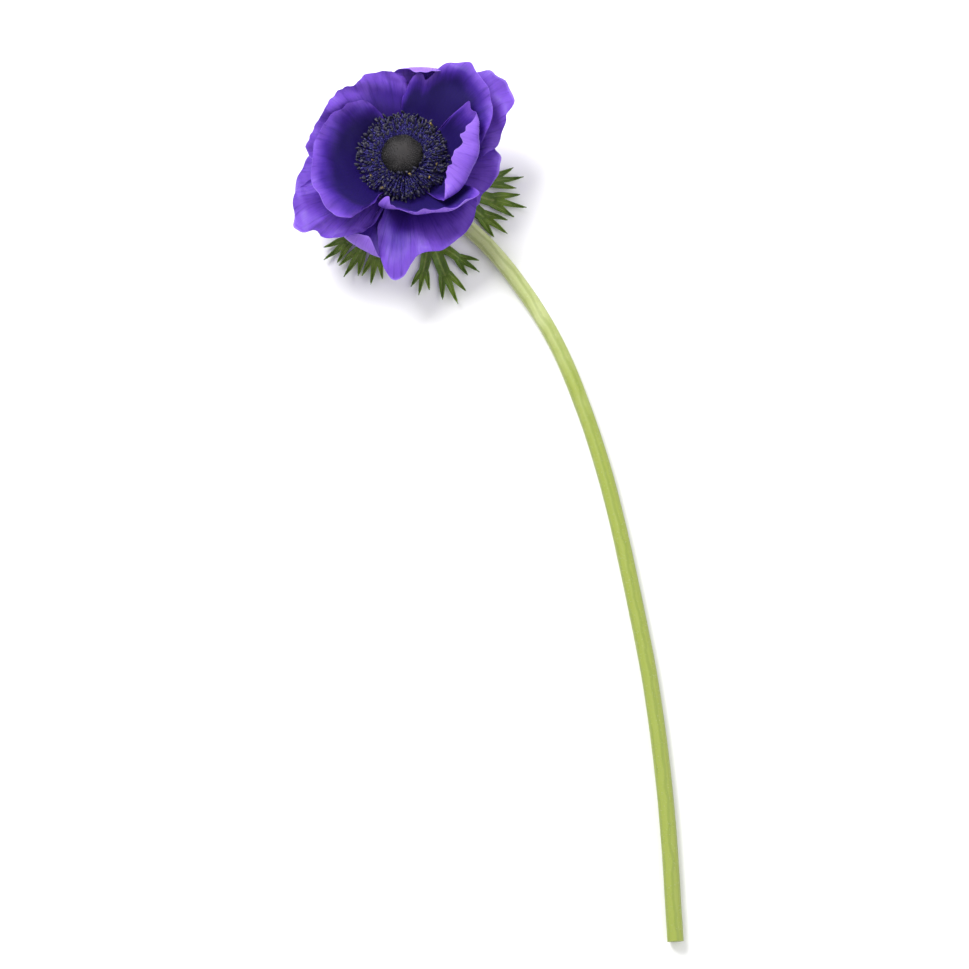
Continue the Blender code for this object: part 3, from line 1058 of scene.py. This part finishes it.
@dataclass(frozen=True)
class StamenRing:
    """The ring of stamens: thin threads with a pollen sac on each."""

    rings: tuple[tuple[int, float, float, float, float], ...] = (
        (60, 6.0, 9.4, 7.9, 0.4),
        (64, 12.0, 9.2, 7.8, 0.7),
        (62, 19.0, 9.0, 7.7, 1.0),
        (60, 27.0, 8.7, 7.5, 1.3),
        (56, 36.0, 8.3, 7.3, 1.5),
        (52, 46.0, 7.8, 7.1, 1.8),
        (46, 57.0, 7.3, 6.9, 2.0),
        (40, 69.0, 6.8, 6.7, 2.1),
    )  # how many, their slope, their length, and where they start: outwards and upwards
    base: float = HEAD_HEIGHT
    thread: float = 0.16 * MM
    sac: tuple[float, float, float] = (0.58 * MM, 0.48 * MM, 1.06 * MM)
    steps: int = 5

    def curves(self) -> tuple[Array, Array]:
        """The points along every thread, and each one's last heading."""
        rng = np.random.default_rng(7)
        runs, ends = [], []
        for count, slope, length, out, up in self.rings:
            for index in range(count):
                azimuth = math.tau * (index + rng.uniform(-0.3, 0.3)) / count
                tilt = slope + rng.uniform(-6, 6)
                reach = length * MM * rng.uniform(0.74, 1.06)
                bend = rng.uniform(8, 26)
                sway = rng.uniform(-0.12, 0.12)
                point = np.array((out * MM, 0.0, up * MM))
                run = [point]
                for step in range(self.steps):
                    angle = math.radians(tilt + bend * (step / self.steps - 0.4))
                    drift = sway * step / self.steps
                    heading = np.array((math.cos(angle), drift, math.sin(angle)))
                    point = point + heading / np.linalg.norm(heading) * reach / self.steps
                    run.append(point)
                turn = np.array((
                    (math.cos(azimuth), -math.sin(azimuth), 0),
                    (math.sin(azimuth), math.cos(azimuth), 0),
                    (0, 0, 1),
                ))
                run = np.array(run) @ turn.T + (0, 0, self.base)
                runs.append(run)
                ends.append(run[-1] - run[-2])
        return np.array(runs), unit(np.array(ends))

    def threads(self, runs: Array) -> bpy.types.Object:
        """The filaments, as one mesh of short tapered tubes.

        Args:
            runs: The points along each thread.

        Returns:
            The object.
        """
        deselect()
        bpy.ops.mesh.primitive_cylinder_add(vertices=5, radius=1, depth=1, end_fill_type="TRIFAN")
        starts, ends = runs[:, :-1].reshape(-1, 3), runs[:, 1:].reshape(-1, 3)
        spans = ends - starts
        lengths = np.linalg.norm(spans, axis=1)
        taper = np.tile(np.linspace(1.25, 0.8, runs.shape[1] - 1), len(runs)) * self.thread
        sizes = np.stack((taper, taper, lengths * 1.12), axis=-1)
        frames = aim((starts + ends) / 2, unit(spans), sizes, np.zeros(len(spans)))
        return copies("stamen_threads", bpy.context.object, frames)

    def sac_pattern(self) -> bpy.types.Object:
        """One pollen sac: two plump halves with a furrow between them."""
        deselect()
        bpy.ops.mesh.primitive_uv_sphere_add(segments=10, ring_count=7, radius=1)
        made = bpy.context.object
        for vertex in made.data.vertices:
            x, y, _ = vertex.co
            furrow = 1 - 0.34 * math.exp(-((x / 0.3) ** 2)) * abs(y)
            vertex.co.y *= furrow
        return made

    def sacs(self, runs: Array, headings: Array) -> bpy.types.Object:
        """The pollen sacs, one on the end of each thread.

        Args:
            runs: The points along each thread.
            headings: Which way each thread ends.

        Returns:
            The object.
        """
        rng = np.random.default_rng(11)
        count = len(runs)
        tips = runs[:, -1] + headings * self.sac[2] * 0.5
        lean = unit(headings + rng.normal(0, 0.45, (count, 3)) + (0, 0, 0.25))
        sizes = np.array(self.sac) * rng.uniform(0.62, 1.12, (count, 1))
        sizes = sizes * rng.uniform(0.85, 1.15, (count, 3))
        frames = aim(tips, lean, sizes, rng.uniform(0, math.tau, count))
        return copies("stamen_sacs", self.sac_pattern(), frames)

    def collar(self) -> bpy.types.Object:
        """The low ring that the threads rise from."""
        deselect()
        bpy.ops.mesh.primitive_torus_add(
            major_segments=72, minor_segments=12, major_radius=6.9 * MM, minor_radius=0.95 * MM,
            location=(0, 0, self.base + 1.25 * MM),
        )
        made = bpy.context.object
        bpy.ops.object.transform_apply(location=True)
        made.name = "stamen_collar"
        made.data.shade_smooth()
        return made

    def build(self, move: Vector) -> None:
        """Models and dresses the ring.

        Args:
            move: From the flower's own centre to the frame.
        """
        runs, headings = self.curves()
        thread, sac = FilamentFinish().material(), AntherFinish().material()
        threads, sacs, collar = self.threads(runs), self.sacs(runs, headings), self.collar()
        threads.data.materials.append(thread)
        collar.data.materials.append(thread)
        sacs.data.materials.append(sac)
        settle(threads, ("stamens",), move)
        settle(sacs, ("stamens",), move)
        settle(collar, ("stamens",), move)


@dataclass(frozen=True)
class SeedHead:
    """The dome of pistils, felted with short hooked styles."""

    base: float = HEAD_HEIGHT
    low: float = 0.75 * MM
    width: float = 7.1 * MM
    height: float = 8.4 * MM
    foot: float = 4.3 * MM
    styles: int = 1300
    style_length: float = 0.85 * MM
    style_radius: float = 0.17 * MM

    def radius(self, rise: Array) -> Array:
        """The dome's radius at a share of its height."""
        bulge = self.width * np.sqrt(np.clip(1 - ((rise - 0.46) / 0.54) ** 2, 0, 1))
        return np.maximum(bulge, self.foot * smoothstep(0.4, 0.1, rise))

    def point(self, u: Array, v: Array) -> Array:
        """The dome's surface from its shares round and up."""
        turn = math.tau * u
        lumps = 1 + 0.035 * ripples(np.cos(turn) * 5, np.sin(turn) * 5 + v * 6, 3.0, 4)
        radius = self.radius(v) * lumps
        height = self.base + self.low + v * self.height
        return np.stack((radius * np.cos(turn), radius * np.sin(turn), height), axis=-1)

    def dome(self) -> bpy.types.Object:
        """The closed dome under the styles."""
        made = grid_sheet("seed_head_dome", 48, 30, self.point)
        close_tube(made, 0.01 * MM)
        face_outwards(made)
        made.data.shade_smooth()
        return made

    def style_pattern(self) -> bpy.types.Object:
        """One short style, a cone with a hooked tip."""
        deselect()
        bpy.ops.mesh.primitive_cone_add(
            vertices=5, radius1=1, radius2=0.35, depth=1, end_fill_type="TRIFAN"
        )
        made = bpy.context.object
        bpy.ops.object.mode_set(mode="EDIT")
        bpy.ops.mesh.select_all(action="SELECT")
        bpy.ops.mesh.subdivide(number_cuts=1)
        bpy.ops.object.mode_set(mode="OBJECT")
        for vertex in made.data.vertices:
            rise = vertex.co.z + 0.5
            vertex.co.x += 1.6 * rise * rise
            vertex.co.z = rise
        return made

    def hairs(self) -> bpy.types.Object:
        """All the styles, spread evenly over the dome."""
        rng = np.random.default_rng(19)
        index = np.arange(self.styles) + 0.5
        rise = 0.12 + 0.88 * (1 - np.arccos(1 - 2 * index / self.styles) / math.pi)
        turn = index * math.pi * (1 + math.sqrt(5)) / math.tau
        places = self.point(turn % 1.0, rise)
        over = self.point((turn + 1e-3) % 1.0, rise) - places
        up = self.point(turn % 1.0, np.minimum(rise + 1e-3, 1.0)) - places
        normals = unit(np.cross(over, up))
        flat = np.linalg.norm(np.cross(over, up), axis=1) < 1e-16
        normals[flat] = (0, 0, 1)
        lean = unit(normals + rng.normal(0, 0.22, normals.shape) + (0, 0, 0.3))
        tall = self.style_length * rng.uniform(0.7, 1.2, self.styles)
        thick = self.style_radius * rng.uniform(0.8, 1.2, self.styles)
        sizes = np.stack((thick, thick, tall), axis=-1)
        frames = aim(places - lean * 0.1 * MM, lean, sizes, rng.uniform(0, math.tau, self.styles))
        return copies("seed_head_styles", self.style_pattern(), frames)

    def build(self, move: Vector) -> None:
        """Models and dresses the seed head.

        Args:
            move: From the flower's own centre to the frame.
        """
        felt = SeedHeadFinish().material()
        for piece in (self.dome(), self.hairs()):
            # high: height share on the dome, which lightens its top as a painted highlight.
            high = (points_of(piece)[:, 2] - self.base - self.low) / self.height
            store(piece.data, "high", high)
            piece.data.materials.append(felt)
            settle(piece, ("seed_head",), move)


# ---------------------------------------------------------------------------- leaves


@dataclass(frozen=True)
class Lobe:
    """A stretch of blade and what it divides into at its end; 0 forks is a pointed tooth."""

    length: float
    width: float
    forks: int = 0
    fan: float = 30.0
    side_share: float = 0.75


@dataclass(frozen=True)
class Rib:
    """The middle line of one lobe, with the blade's half width at its root and at its end."""

    start: Array
    end: Array
    root: float
    tip: float
    before: float


@dataclass(frozen=True)
class Leaf:
    """One leaf of the collar, cut into lobes and teeth, that comes down to the surface."""

    name: str
    heading: float
    stages: tuple[Lobe, ...]
    root: float = 3.5 * MM
    root_height: float = 13 * MM
    low: float = 0.55 * MM
    drop: tuple[float, float] = (7 * MM, 31 * MM)
    cell: float = 0.36 * MM
    thickness: float = 0.42 * MM
    tooth_tip: float = 0.12 * MM
    belly: float = 0.35
    fork_spread: float = 0.62
    fork_width: float = 0.52
    curl: float = 1.6 * MM
    trough: float = 0.7 * MM
    uneven: float = 0.5 * MM
    seed: int = 1

    def ribs(self, stages: tuple[Lobe, ...], start: Array, heading: float, scale: float, wide: float,
             before: float) -> list[Rib]:
        """The middle lines of a lobe and all it divides into.

        Args:
            stages: The lobe and the ones after it.
            start: Where it begins.
            heading: Which way it runs, from the leaf's own axis.
            scale: Its size, as a share of its stage's.
            wide: Half of the blade's width where it begins.
            before: How far from the leaf's root it begins, along the ribs.

        Returns:
            The ribs.
        """
        lobe, rest = stages[0], stages[1:]
        turn = math.radians(heading)
        span = lobe.length * scale
        end = start + span * np.array((math.cos(turn), math.sin(turn)))
        if not lobe.forks:
            return [Rib(start, end, wide, self.tooth_tip, before)]
        half = lobe.width * scale / 2
        found = [Rib(start, end, wide, half, before)]
        across = np.array((-math.sin(turn), math.cos(turn)))
        middle = (lobe.forks - 1) / 2
        for fork in range(lobe.forks):
            offset = middle - fork
            share = scale * (lobe.side_share if offset else 1)
            begin = end + across * half * offset * self.fork_spread
            found += self.ribs(
                rest, begin, heading + offset * lobe.fan, share, half * self.fork_width, before + span
            )
        return found

    def field(self, points: Array, ribs: list[Rib]) -> tuple[Array, Array, Array]:
        """How far each flat point is outside the blade, with its place against the nearest rib.

        Args:
            points: (points, 2) flat places.
            ribs: The leaf's ribs.

        Returns:
            The distance outside the blade, the share from rib to margin, and the distance along.
        """
        best = np.full(len(points), 1.0)
        rib_share, reach = np.zeros(len(points)), np.zeros(len(points))
        for rib in ribs:
            line = rib.end - rib.start
            share = np.clip((points - rib.start) @ line / (line @ line), 0, 1)
            away = np.linalg.norm(points - rib.start - share[:, None] * line, axis=1)
            belly = 1 + self.belly * np.sin(math.pi * share) * (rib.tip <= self.tooth_tip)
            half = (rib.root + (rib.tip - rib.root) * share) * belly
            outside = away - half
            nearer = outside < best
            rib_share = np.where(nearer, away / np.maximum(half, 1e-5), rib_share)
            reach = np.where(nearer, rib.before + share * np.linalg.norm(line), reach)
            best = np.minimum(best, outside)
        return best, rib_share, reach

    def lattice(self, ribs: list[Rib]) -> tuple[Array, list[tuple[int, ...]]]:
        """A fine triangle lattice trimmed to the blade's outline.

        Args:
            ribs: The leaf's ribs.

        Returns:
            The flat points and the triangles.
        """
        ends = np.array([rib.end for rib in ribs] + [rib.start for rib in ribs])
        low, high = ends.min(axis=0) - 5 * MM, ends.max(axis=0) + 5 * MM
        rows = int((high[1] - low[1]) / (self.cell * math.sqrt(0.75))) + 2
        columns = int((high[0] - low[0]) / self.cell) + 2
        row, column = np.meshgrid(np.arange(rows), np.arange(columns), indexing="ij")
        x = low[0] + (column + 0.5 * (row % 2)) * self.cell
        y = low[1] + row * self.cell * math.sqrt(0.75)
        points = np.stack((x, y), axis=-1).reshape(-1, 2)
        outside = self.field(points, ribs)[0]
        step = 0.02 * MM
        slope = np.stack([
            (self.field(points + np.array(shift) * step, ribs)[0] - outside) / step
            for shift in ((1, 0), (0, 1))
        ], axis=-1)
        near = np.abs(outside) < 0.55 * self.cell
        points[near] -= (slope * outside[:, None])[near]
        inside = (outside < 0) | near
        index = row * columns + column
        a, b = index[:-1, :-1].ravel(), index[:-1, 1:].ravel()
        c, d = index[1:, :-1].ravel(), index[1:, 1:].ravel()
        even = (row[:-1, :-1] % 2 == 0).ravel()
        first = np.where(even[:, None], np.stack((a, b, c), -1), np.stack((a, b, d), -1))
        second = np.where(even[:, None], np.stack((b, d, c), -1), np.stack((a, d, c), -1))
        faces = np.concatenate((first, second))
        faces = faces[inside[faces].all(axis=1)]
        corners = points[faces]
        area = np.cross(corners[:, 1] - corners[:, 0], corners[:, 2] - corners[:, 0])
        faces = faces[area > 1e-4 * self.cell**2]
        used, packed = np.unique(faces, return_inverse=True)
        return points[used], [tuple(face) for face in packed.reshape(-1, 3).tolist()]

    def drape(self, flat: Array, rib_share: Array) -> Array:
        """Brings the flat blade down from the stem and lays it on the surface."""
        distance = np.linalg.norm(flat, axis=1)
        fall = smoothstep(*self.drop, distance)
        curl = self.curl * smoothstep(40 * MM, 60 * MM, distance)
        height = self.low + (self.root_height - self.low) * (1 - fall) + curl
        trough = self.trough * np.minimum(rib_share, 1.2) ** 2 * smoothstep(4 * MM, 12 * MM, distance)
        uneven = self.uneven * (1 + ripples(flat[:, 0], flat[:, 1], 9 * MM, self.seed)) * fall
        turn = math.radians(self.heading)
        x = flat[:, 0] * math.cos(turn) - flat[:, 1] * math.sin(turn)
        y = flat[:, 0] * math.sin(turn) + flat[:, 1] * math.cos(turn)
        return np.stack((x, y, height + trough + np.maximum(uneven, 0)), axis=-1)

    def build(self, material: bpy.types.Material) -> bpy.types.Object:
        """Models the leaf as a thin closed blade.

        Args:
            material: The leaf's finish.

        Returns:
            The leaf.
        """
        ribs = self.ribs(self.stages, np.array((self.root, 0.0)), 0.0, 1.0, 1.6 * MM, 0.0)
        flat, faces = self.lattice(ribs)
        _, rib_share, reach = self.field(flat, ribs)
        made = new_object(self.name + "_blade", self.drape(flat, rib_share), faces)
        store(made.data, "rib", rib_share)
        store(made.data, "reach", reach)
        made.data.materials.append(material)
        wall = made.modifiers.new("Wall", "SOLIDIFY")
        wall.thickness = self.thickness
        wall.offset = 0
        apply_modifiers(made)
        smooth_shade(made, 50)
        return made


class LeafCollar:
    """The three divided leaves under the flower."""

    leaves: tuple[Leaf, ...] = (
        Leaf(
            "leaf_front", -68,
            (Lobe(27 * MM, 8 * MM, 3, 32, 0.75), Lobe(12 * MM, 4.6 * MM, 3, 20), Lobe(13 * MM, 3 * MM)),
            seed=2,
        ),
        Leaf(
            "leaf_right", -15,
            (Lobe(20 * MM, 10 * MM, 3, 23, 0.9), Lobe(12 * MM, 5.2 * MM, 3, 18), Lobe(13 * MM, 3 * MM)),
            seed=6,
        ),
        Leaf(
            "leaf_left", -119,
            (Lobe(20 * MM, 9 * MM, 3, 20, 0.95), Lobe(11 * MM, 4.4 * MM, 3, 18),
             Lobe(12 * MM, 2.8 * MM)),
            seed=9,
        ),
    )

    def build(self, move: Vector) -> None:
        """Models and dresses every leaf.

        Args:
            move: From the flower's own centre to the frame.
        """
        finish = LeafFinish().material()
        for leaf in self.leaves:
            settle(leaf.build(finish), (leaf.name,), move)


# ---------------------------------------------------------------------------- stem


@dataclass(frozen=True)
class Stem:
    """The cut stem: receptacle, bent neck, ribbed and downy length, and cut end."""

    head: float = HEAD_HEIGHT
    radius: float = 3.1 * MM
    receptacle: float = 5.3 * MM
    bend_radius: float = 10.5 * MM
    heading: float = -45.0
    route: tuple[tuple[float, float], ...] = (
        (28.5, -24.6), (44.7, -44.5), (58.5, -68.4), (69.5, -97.0), (78.0, -127.0),
        (85.5, -163.0), (92.0, -200.0), (96.5, -242.0), (99.0, -290.0),
    )
    rings: int = 420
    sides: int = 44
    ribs: int = 9
    hairs: int = 3200
    end_steps: tuple[tuple[float, float], ...] = (
        (0.12 * MM, 0.0), (0.5 * MM, 0.02 * MM), (1.0 * MM, -0.25 * MM),
    )  # the insets of an end face, and how far each is raised

    def path(self) -> tuple[Array, Array]:
        """Points down the middle of the stem, evenly spaced, and its radius at each."""
        top = self.head
        turn = math.radians(self.heading)
        side = np.array((math.cos(turn), math.sin(turn), 0.0))
        up = np.array((0.0, 0.0, 1.0))
        points = [up * (top - drop * MM) for drop in np.linspace(-0.4, 7.2, 30)]
        centre = side * self.bend_radius + up * (self.radius + self.bend_radius)
        for angle in np.linspace(0, math.pi / 2, 24)[:-1]:
            points.append(centre - (side * math.cos(angle) + up * math.sin(angle)) * self.bend_radius)
        foot = side * self.bend_radius + up * self.radius
        knots = [foot] + [np.array((x * MM, y * MM, self.radius)) for x, y in self.route]
        ends = [2 * knots[0] - knots[1], *knots, 2 * knots[-1] - knots[-2]]
        for a, b, c, d in zip(ends, ends[1:], ends[2:], ends[3:]):
            for t in np.linspace(0, 1, 24, endpoint=False):
                points.append(spline(a, b, c, d, t))
        points = np.array([*points, knots[-1]])
        spans = np.linalg.norm(np.diff(points, axis=0), axis=1)
        walked = np.concatenate(((0.0,), np.cumsum(spans)))
        even = np.linspace(0, walked[-1], 900)
        smooth = np.stack([np.interp(even, walked, points[:, axis]) for axis in range(3)], axis=-1)
        flare = (self.receptacle - self.radius) * smoothstep(7.0 * MM, 4.2 * MM, even)
        return smooth, self.radius + flare - 0.12 * MM * smoothstep(20 * MM, 160 * MM, even)

    def frames(self, share: Array) -> tuple[Array, Array, Array, Array]:
        """Middle point, radius and two cross directions at each share of the stem's length."""
        points, radii = self.path()
        places = np.linspace(0, 1, len(points))
        ahead = unit(np.gradient(points, axis=0))
        first = np.zeros_like(points)
        turn = math.radians(self.heading)
        first[0] = (-math.sin(turn), math.cos(turn), 0.0)
        for index in range(1, len(points)):
            carried = first[index - 1] - ahead[index] * (first[index - 1] @ ahead[index])
            first[index] = carried / np.linalg.norm(carried)
        second = np.cross(ahead, first)

        def at(values: Array) -> Array:
            """The values at the wanted shares."""
            return np.stack([np.interp(share, places, values[:, k]) for k in range(3)], axis=-1)

        return at(points), np.interp(share, places, radii), unit(at(first)), unit(at(second))

    def skin(self, turn: Array, share: Array) -> Array:
        """A point of the stem's skin: turn runs 0 to 1 round it, share 0 to 1 down it."""
        centre, radius, first, second = self.frames(share)
        angle = math.tau * turn
        ribbed = 0.014 * np.cos(self.ribs * angle + 5 * share) - 0.014
        uneven = 0.018 * ripples(np.cos(angle) * 2, np.sin(angle) * 2 + share * 60, 4.0, 31)
        size = radius * (1 + (ribbed + np.minimum(uneven, 0.0)) * smoothstep(0.02, 0.05, share))
        outwards = first * np.cos(angle)[:, None] + second * np.sin(angle)[:, None]
        return centre + size[:, None] * outwards

    def body(self) -> bpy.types.Object:
        """The closed stem, with a dished cut at its end."""
        made = grid_sheet("stem_body", self.sides, self.rings, self.skin)
        close_tube(made, 0.02 * MM)
        self.dish(made)
        face_outwards(made)
        return made

    def dish(self, made: bpy.types.Object) -> None:
        """Insets the two end faces, and hollows the pith of the cut one a little.

        Args:
            made: The stem, whose ends are one face each.
        """
        ends = [face.index for face in made.data.polygons if len(face.vertices) > 8]
        for inset, depth in self.end_steps:
            bpy.ops.object.mode_set(mode="EDIT")
            bpy.ops.mesh.select_all(action="DESELECT")
            bpy.ops.mesh.select_mode(type="FACE")
            bpy.ops.object.mode_set(mode="OBJECT")
            for index in ends:
                made.data.polygons[index].select = True
            bpy.ops.object.mode_set(mode="EDIT")
            bpy.ops.mesh.inset(thickness=inset, depth=depth)
            bpy.ops.object.mode_set(mode="OBJECT")
            ends = [face.index for face in made.data.polygons if face.select]
        bpy.ops.object.mode_set(mode="EDIT")
        bpy.ops.mesh.poke()
        bpy.ops.object.mode_set(mode="OBJECT")

    def mark(self, made: bpy.types.Object) -> None:
        """Stores how far along, how far round and whether on the cut each point is.

        Args:
            made: The stem.
        """
        points, _ = self.path()
        coarse = points[::6]
        places = np.linspace(0, 1, len(points))[::6]
        where = points_of(made)
        nearest = np.argmin(((where[:, None] - coarse[None]) ** 2).sum(axis=-1), axis=1)
        share = places[nearest]
        centre, radius, first, second = self.frames(share)
        off = where - centre
        turn = np.arctan2((off * second).sum(axis=1), (off * first).sum(axis=1))
        cut = (np.linalg.norm(off, axis=1) < radius * 0.93) & (share > 0.99)
        for name, values in (("along", share), ("turn", turn / math.tau), ("cut", cut)):
            store(made.data, name, values)

    def down(self) -> bpy.types.Object:
        """The fine hairs, thickest near the flower."""
        rng = np.random.default_rng(23)
        share = 0.03 + 0.96 * rng.uniform(0, 1, self.hairs) ** 1.25
        turn = rng.uniform(0, 1, self.hairs)
        centre, _, _, _ = self.frames(share)
        roots = self.skin(turn, share)
        lean = unit(unit(roots - centre) + rng.normal(0, 0.35, roots.shape))
        tall = rng.uniform(0.45, 1.0, self.hairs) * MM
        thick = np.full(self.hairs, 0.028 * MM)
        clear = roots[:, 2] + lean[:, 2] * tall > 0.1 * MM
        frames = aim(roots, lean, np.stack((thick, thick, tall), axis=-1), np.zeros(self.hairs))
        deselect()
        bpy.ops.mesh.primitive_cone_add(
            vertices=3, radius1=1, radius2=0.2, depth=1, location=(0, 0, 0.42)
        )
        bpy.ops.object.transform_apply(location=True)
        return copies("stem_down", bpy.context.object, frames[clear])

    def build(self, move: Vector) -> None:
        """Models and dresses the stem.

        Args:
            move: From the flower's own centre to the frame.
        """
        body, hairs = self.body(), self.down()
        self.mark(body)
        body.data.materials.append(StemFinish().material())
        smooth_shade(body, 50)
        hairs.data.materials.append(DownFinish().material())
        settle(body, ("stem",), move)
        settle(hairs, ("stem",), move)


# ---------------------------------------------------------------------------- studio


@dataclass(frozen=True)
class Lamp:
    """A soft square light that points at the flower, from a place measured from it."""

    name: str
    place: tuple[float, float, float]
    size: float
    power: float


@dataclass(frozen=True)
class Studio:
    """A pale floor, soft light and a camera that looks down on the flower."""

    elevation: float = 76.0
    lens: float = 100.0
    sensor: float = 36.0
    margin: float = 1.08
    floor_size: float = 6.0
    floor_colour: Colour = (0.86, 0.86, 0.86)
    sky_strength: float = 0.7
    lamps: tuple[Lamp, ...] = (
        Lamp("key", (-0.5, 0.6, 0.95), 0.6, 20.0),
        Lamp("fill", (0.9, -0.3, 1.0), 1.0, 6.0),
    )

    def floor(self) -> None:
        """The wide pale floor that the flower lies on."""
        deselect()
        bpy.ops.mesh.primitive_plane_add(size=self.floor_size)
        made = bpy.context.object
        made.name = "studio_floor"
        shader = Shader("floor")
        shader.dress({"Base Color": self.floor_colour, "Roughness": 0.9, "Specular IOR Level": 0.1})
        made.data.materials.append(shader.material)

    def hang(self, lamp: Lamp, head: Vector) -> None:
        """Hangs one lamp.

        Args:
            lamp: The lamp.
            head: What it points at.
        """
        light = bpy.data.lights.new(lamp.name, "AREA")
        light.size = lamp.size
        light.energy = lamp.power
        made = bpy.data.objects.new(lamp.name, light)
        made.location = head + Vector(lamp.place)
        made.rotation_euler = (head - made.location).to_track_quat("-Z", "Y").to_euler()
        bpy.context.scene.collection.objects.link(made)

    def sky(self) -> None:
        """Even white light from all round."""
        world = bpy.data.worlds.new("studio_sky")
        world.use_nodes = True
        background = world.node_tree.nodes["Background"]
        background.inputs["Color"].default_value = (1.0, 1.0, 1.0, 1.0)
        background.inputs["Strength"].default_value = self.sky_strength
        bpy.context.scene.world = world

    def camera(self) -> None:
        """The camera, with the whole flower in its view."""
        low, high = CAD_BOX
        centre = (low + high) / 2
        tilt = math.radians(self.elevation)
        back = Vector((0.0, -math.cos(tilt), math.sin(tilt)))
        tall = (high.y - low.y) * math.sin(tilt) + (high.z - low.z) * math.cos(tilt)
        data = bpy.data.cameras.new("studio_camera")
        data.lens = self.lens
        data.sensor_width = self.sensor
        made = bpy.data.objects.new("studio_camera", data)
        made.location = centre + back * (tall * self.margin * self.lens / self.sensor)
        made.rotation_euler = (-back).to_track_quat("-Z", "Y").to_euler()
        bpy.context.scene.collection.objects.link(made)
        bpy.context.scene.camera = made

    def build(self, head: Vector) -> None:
        """Sets up the floor, the lights and the camera.

        Args:
            head: The flower's own centre.
        """
        self.floor()
        self.sky()
        for lamp in self.lamps:
            self.hang(lamp, head)
        self.camera()
        bpy.context.scene.view_settings.view_transform = "Standard"


def main() -> None:
    """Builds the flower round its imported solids, piece by piece."""
    logging.basicConfig(level=logging.INFO, format="%(name)s: %(message)s")
    move = head_place()
    Stem().build(move)
    LeafCollar().build(move)
    Corolla().build(move)
    StamenRing().build(move)
    SeedHead().build(move)
    Studio().build(move)


if __name__ == "__main__":
    main()
